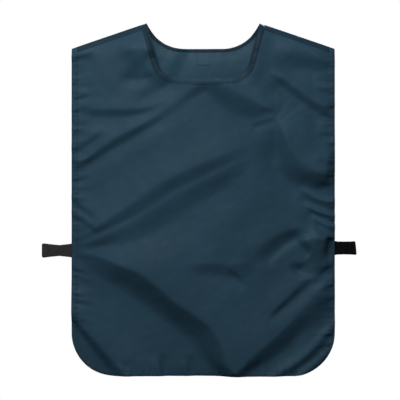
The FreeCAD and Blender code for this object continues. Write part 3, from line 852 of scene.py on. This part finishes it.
def stitches(field, x, z, across, inset, facing_out):
    """One stitch at each place along a line: x, z of its points as (count, points)."""
    rise = np.array([0.34, -0.06, -0.1, -0.06, 0.34]) * facing_out
    return tubes(field.place(x, z, inset + rise), across, thread_radius)


def stitch_line(path, hand=1, distance=0.0):
    """Places of the stitches' points at a distance from a path: x, z and the direction across."""
    cells = 8  # to a stitch and its gap
    line = resample(path + left_normals(path) * hand * distance, stitch_pitch / cells)
    run = stitch_length / 4 / (stitch_pitch / cells)
    starts = np.arange(cells // 2, len(line) - 3 * cells // 2, cells)
    index = (starts[:, None] + np.round(run * np.arange(5))[None, :]).astype(int)
    across = left_normals(line)[index[:, 2]]
    return line[index, 0], line[index, 1], np.insert(across, 1, 0, axis=1)


def merged(*meshes):
    points, faces, start = [], [], 0
    for these, quads in meshes:
        points.append(these)
        faces += [[v + start for v in face] for face in quads]
        start += len(these)
    return np.concatenate(points), faces


def both_threads(field, x, z, across):
    """A line's needle thread outside and bobbin thread inside, without the stitches above the ridge."""
    meshes = []
    for inset, way in ((binding_face - 0.1, 1), (binding_back + 0.02, -1)):
        under = z.max(1) < layer_top(x[:, 2], max(inset, 0), field.side) - stitch_top_gap
        meshes.append(stitches(field, x[under], z[under], across[under], inset, way))
    return merged(*meshes)


def patch(field, x, z, inset, thickness):
    """A flat strip laid on a panel over a grid of places."""
    quads = facing(field.side, grid_quads(*x.shape))
    outer = field.place(x, z, inset).reshape(-1, 3)
    inner = field.place(x, z, inset + thickness).reshape(-1, 3)
    return closed_sheet(outer, inner, quads)


def shoulder_grid(field, hand, drops, columns):
    """Places along one shoulder between the bindings, at drops below the ridge."""
    outer_x = half_width - binding_width - 0.1
    share = np.linspace(0, 1, columns)[None, :]
    drop = np.asarray(drops, float)[:, None]
    spread = neck_foot(field.side)[3]
    inner_x = neck_half + spread * (-drop - 5) + (binding_width + 0.1) * math.hypot(1, spread)
    x = inner_x + (outer_x - inner_x) * share
    z = ridge_height(x) - drop
    x = hand * x
    return (x, z) if hand == RIGHT else (x[:, ::-1], z[:, ::-1])


def shoulder_tape(field, hand):
    drops = [binding_width, binding_width - 0.5, 11, 10.4, 10, 9.6, 9, 7, 5, 3, 1.5, 0.4]
    x, z = shoulder_grid(field, hand, drops, columns=60)
    swell = np.interp(drops, [0, 5, 9.4, 10, 10.6, 11.5, 12], [0, -0.15, -0.1, 0.12, -0.1, -0.05, 0.1])
    ripple = 0.12 * np.sin(x / 1.9) * np.sin(x / 7.3)
    return patch(field, x, z, binding_face + 0.05 + swell[:, None] + ripple, binding_cloth)


def shoulder_stitches(field):
    grids = [shoulder_grid(field, hand, [stitch_inset], columns=400) for hand in (LEFT, RIGHT)]
    lines = [stitch_line(np.stack([x[0], z[0]], 1)) for x, z in grids]
    return merged(*(stitches(field, *line, binding_face - 0.05, 1) for line in lines))


# ---- the loops' sewn ends ---------------------------------------------------
class Loop:
    """Where one elastic loop is, read from its front leaf in the frame."""

    def __init__(self, hand):
        self.hand = hand
        # each loop's colour is a copy of one elastic: painted light on the left loop, painted shade on the
        # right one
        self.name, self.slot = ("left", "elastic_grey") if hand == LEFT else ("right", "elastic_black")
        low, high = node_box(f"{self.name}_strap_front_leaf")
        self.root_x, self.fold_x = (high[0], low[0]) if hand == LEFT else (low[0], high[0])
        self.middle = (low[2] + high[2]) / 2
        self.half = (high[2] - low[2]) / 2
        self.front_y, self.inner_y = low[1], high[1]


band_places = np.linspace(-1, 1, 57)  # across a band, from its lower edge to its upper one
rib_pitch, rib_height = 2.0, 0.16
shirr_pitch, shirr_height = 2.6, 0.1
crease_place, crease_width, crease_depth = 0.93, 0.025, 0.12  # the crease beside a loop's fold
fold_slant = {LEFT: 0.0, RIGHT: -1.4}  # how far a band's fold leans out of upright, over half its width


def ribbed(across):
    """Height of the ribs over a band, at places across it."""
    return rib_height * np.cos(2 * math.pi * across / rib_pitch)


def strap_tab(field, loop):
    share = np.linspace(0, 1, 22)[None, :]
    v = band_places[:, None]
    start = half_width - tab_length
    x = loop.hand * (start + (abs(loop.root_x) + tab_past_root - start) * share) * np.ones(v.shape)
    z = loop.middle + loop.half * v * np.ones(share.shape)
    inset = tab_inset + loft(half_width - loop.hand * x, lining_loft)
    outside = loop.hand * x > half_width
    inset = inset - np.where(outside, field.depth(loop.hand * half_width, z) - field.depth(x, z), 0)
    inset = inset - 0.5 * ribbed(z - loop.middle) - 0.1 * np.cos(2 * math.pi * x / 1.4)
    if loop.hand == LEFT:
        x, z, inset = x[:, ::-1], z[:, ::-1], inset[:, ::-1]
    return patch(field, x, z, inset, tab_thickness)


def bar_tack(field, loop):
    """A dense zigzag through the edge of the panel and the loop's end, outside and inside."""
    strokes = 44
    half = loop.half - 2
    v = np.linspace(-half, half, 6 * strokes + 1)
    wave = np.abs(((v + half) / (2 * half) * strokes) % 2 - 1)
    x = loop.hand * (half_width - 7 + 2.4 * wave)
    z = loop.middle + v
    meshes = []
    for inset, way in ((binding_face - 0.12, 1), (tab_inset + tab_thickness + 0.15, -1)):
        line = field.place(x, z, np.full(x.shape, inset) + 0.05 * way)
        meshes.append(tubes(line[None], np.array([[0.0, 0.0, 1.0]]), 0.22, 6))
    return merged(*meshes)


# ---- neck label -------------------------------------------------------------
label_width, label_height, label_drop, label_margin = 26.0, 20.0, 1.0, 2.0
label_thickness, label_lift, label_curl = 0.2, 0.35, 0.5


def label_place(x, z):
    """Inset of the label's back: the sides of it curl away from the lining."""
    curl = label_curl * (np.abs(x) / (label_width / 2)) ** 4
    lining = lining_inset + lining_thickness + loft(np.abs(z) - back_neck_depth, lining_loft)
    return lining + label_lift + curl


def neck_label(field):
    top = -back_neck_depth - binding_width - label_drop
    half = label_width / 2
    x, z = np.meshgrid(np.linspace(-half, half, 40), np.linspace(top - label_height, top, 30))
    return patch(field, x, z, label_place(x, z), label_thickness)


def label_stitches(field):
    top = -back_neck_depth - binding_width - label_drop - label_margin
    half, low = label_width / 2 - label_margin, top - label_height + 2 * label_margin
    ring = resample(np.array([(-half, top), (-half, low), (half, low), (half, top), (-half, top)]), 0.3)
    x, z, across = stitch_line(ring)
    rise = np.array([0.3, 0.05, 0, 0.05, 0.3])
    lines = field.place(x, z, label_place(x, z) + 0.3 - rise)
    return tubes(lines, across, 0.2)


# ---- elastic loops ----------------------------------------------------------
def loop_half_height(loop, share):
    """Half the band's height from the panel, share 0, to the fold, share 1: it narrows between its ends."""
    if loop.hand == LEFT:
        return np.interp(share, [0, 0.15, 0.4, 0.75, 0.92, 1], [13.6, 12.6, 10.9, 13.0, 14.4, 13.4])
    return np.interp(share, [0, 0.12, 0.4, 0.8, 0.93, 1], [14.0, 13.2, 12.9, 13.2, 13.8, 13.0])


def elastic_loop(loop):
    """The band out from the front panel, round its fold and back to the back panel."""
    root = loop.root_x
    middle_y = (loop.front_y + loop.inner_y) / 2
    radius = -middle_y
    thickness = loop.inner_y - loop.front_y
    turn_x = loop.fold_x - loop.hand * (radius + thickness / 2)
    straight = np.linspace(0, 1, 46)
    bend = np.linspace(-math.pi / 2, math.pi / 2, 15)[1:-1]
    out_x = root + (turn_x - root) * straight
    out_y = np.full(straight.shape, middle_y)
    x = np.concatenate([out_x, turn_x + loop.hand * radius * np.cos(bend), out_x[::-1]])
    y = np.concatenate([out_y, radius * np.sin(bend), -out_y])
    share = np.abs(x - root) / abs(loop.fold_x - root)
    path = np.stack([x, y], 1)
    normals = left_normals(path)
    share = share[:, None]
    across = band_places[None, :]
    half = loop_half_height(loop, share)
    slant = fold_slant[loop.hand] * smoothstep((share - 0.8) / 0.2) * across
    shirr = shirr_height * np.sin(2 * math.pi * share * abs(loop.fold_x - root) / shirr_pitch + 3 * across)
    crease = np.exp(-((share - crease_place) / crease_width) ** 2) * crease_depth
    rib = ribbed(across * loop.half) * (0.8 + 0.2 * np.cos(7 * share))
    edge = 1 - 0.55 * np.clip((np.abs(across) - 0.93) / 0.07, 0, 1) ** 2
    curl = 0.9 * np.clip((np.abs(across) - 0.72) / 0.28, 0, 1) ** 2 * np.where(across < 0, 1.4, 0.8)
    sections = []
    for way in (1, -1):
        room = 0.5 if way == -loop.hand else 1.0  # less on the side that faces the other leaf
        off = way * (thickness / 2 * edge - 0.18 + room * (rib + shirr - crease)) + loop.hand * curl
        px = path[:, :1] + normals[:, :1] * off + loop.hand * slant
        py = path[:, 1:] + normals[:, 1:] * off
        row = np.stack([px, py, loop.middle + across * half], -1)
        sections.append(row if way == 1 else row[:, ::-1])
    return swept(np.concatenate(sections, axis=1))


# ---- the apron --------------------------------------------------------------
SEAM_SPAN = ((0, 0, -0.05), (0, 0, -0.2))  # for the back panel's top at the shoulder seam; make_piece reads only that it is given

# The layers of each panel, from the outside in: (name, cell, inset, thickness, slot, loft)
LAYERS = (
    ("face_cloth", 2.8, 0.0, cloth_thickness, "face_cloth", 0.0),
    ("shield_ply_outer", 5.0, outer_ply_inset, ply_thickness, "shield_sheet", ply_loft),
    ("shield_ply_inner", 5.0, inner_ply_inset, ply_thickness, "shield_sheet", inner_ply_loft),
    ("lining", 3.6, lining_inset, lining_thickness, "lining_cloth", lining_loft),
)


def dress_panel(side, word, folds, seed, loops):
    """Every piece of one panel."""
    field = Field(side, folds, seed)
    carried = {"body": "front_panel"}
    if side == BACK:
        carried = {"spans": ("front_panel", "back_panel", *SEAM_SPAN)}

    def piece(name, mesh, slot, material=None):
        return make_piece(name, *mesh, slot, (name,), material=material, **carried)

    face, *hidden = [piece(f"{word}_{name}", cloth(field, cell, inset, thickness, extra), slot)
                     for name, cell, inset, thickness, slot, extra in LAYERS]

    edge = edge_path()
    edge[[0, -1], 1] = ridge_height(half_width)
    neck = np.vstack([[-neck_half, 0], neck_path(side)[1:-1], [neck_half, 0]])
    for name, path, hand, inside, look in (("edge", edge, 1, binding_width, None),
                                           ("neck", neck, -1, neck_binding_inside, "neck_tape_painted_shade")):
        strip = binding(field, path, hand, inside)
        piece(f"{word}_{name}_binding", strip, "binding_tape", look)
        line = stitch_line(resample(path, 1.0), hand, stitch_inset)
        piece(f"{word}_{name}_stitching", both_threads(field, *line), "thread")
    for loop in loops:
        tape = shoulder_tape(field, loop.hand)
        piece(f"{word}_{loop.name}_shoulder_tape", tape, "binding_tape", "shoulder_tape")
    piece(f"{word}_shoulder_stitching", shoulder_stitches(field), "thread")
    for loop in loops:
        piece(f"{word}_{loop.name}_strap_tab", strap_tab(field, loop), loop.slot)
        piece(f"{word}_{loop.name}_bar_tack", bar_tack(field, loop), "thread")
    if side == BACK:
        piece("neck_label", neck_label(field), "label_tape")
        piece("label_stitching", label_stitches(field), "thread")


def dress_loops(loops):
    for loop in loops:
        name = f"{loop.name}_strap"
        spans = (f"{name}_front", f"{name}_back", (0, -0.0001, 0), (0, 0.0001, 0))
        make_piece(f"{loop.name}_elastic_loop", *elastic_loop(loop), loop.slot,
                   (f"{name}_front_leaf", f"{name}_back_leaf"), spans=spans)


# ---- studio -----------------------------------------------------------------
ambient = 0.15
light_aim = (0, 0, -0.2)
LIGHTS = {  # before the front, and turned about for the back: place and diameter in metres, power in watts
    "key": ((-0.45, -1.85, 1.25), 0.7, 86),
    "fill": ((0.3, -2.6, 0.3), 1.6, 1.0),
}
camera_place, lens, film = (-0.0064, -3.0, -0.354), 135, 36


def white_backdrop():
    """A world that is white to the camera and lights the object evenly but faintly."""
    world = bpy.data.worlds.new("studio")
    world.use_nodes = True
    tree = world.node_tree
    choice = tree.nodes.new("ShaderNodeMixShader")
    lit, seen = tree.nodes["Background"], tree.nodes.new("ShaderNodeBackground")
    for number, (background, strength) in enumerate(((lit, ambient), (seen, 1.0)), 1):
        background.inputs["Color"].default_value = (1, 1, 1, 1)
        background.inputs["Strength"].default_value = strength
        tree.links.new(background.outputs[0], choice.inputs[number])
    ray = tree.nodes.new("ShaderNodeLightPath")
    tree.links.new(ray.outputs["Is Camera Ray"], choice.inputs[0])
    tree.links.new(choice.outputs[0], tree.nodes["World Output"].inputs["Surface"])
    bpy.context.scene.world = world


def area_light(name, place, size, power):
    data = bpy.data.lights.new(name, "AREA")
    data.shape = "DISK"
    data.size = size
    data.energy = power
    made = new_object(name, data)
    made.location = place
    made.rotation_euler = (Vector(light_aim) - Vector(place)).to_track_quat("-Z", "Y").to_euler()


def camera():
    """A long lens, level and square to the front panel."""
    data = bpy.data.cameras.new("camera")
    data.lens = lens
    data.sensor_width = film
    made = new_object("camera", data)
    made.location = camera_place
    made.rotation_euler = (math.pi / 2, 0, 0)
    bpy.context.scene.camera = made


def studio():
    white_backdrop()
    for word, way in (("front", 1), ("back", -1)):
        for name, ((x, y, z), size, power) in LIGHTS.items():
            area_light(f"{word} {name}", (way * x, way * y, z), size, power)
    camera()
    view = bpy.context.scene.view_settings
    view.view_transform = "Standard"
    view.look = "None"


def main():
    loops = [Loop(LEFT), Loop(RIGHT)]
    dress_panel(FRONT, "front", FRONT_FOLDS, 11, loops)
    dress_panel(BACK, "back", BACK_FOLDS, 23, loops)
    dress_loops(loops)
    studio()


main()
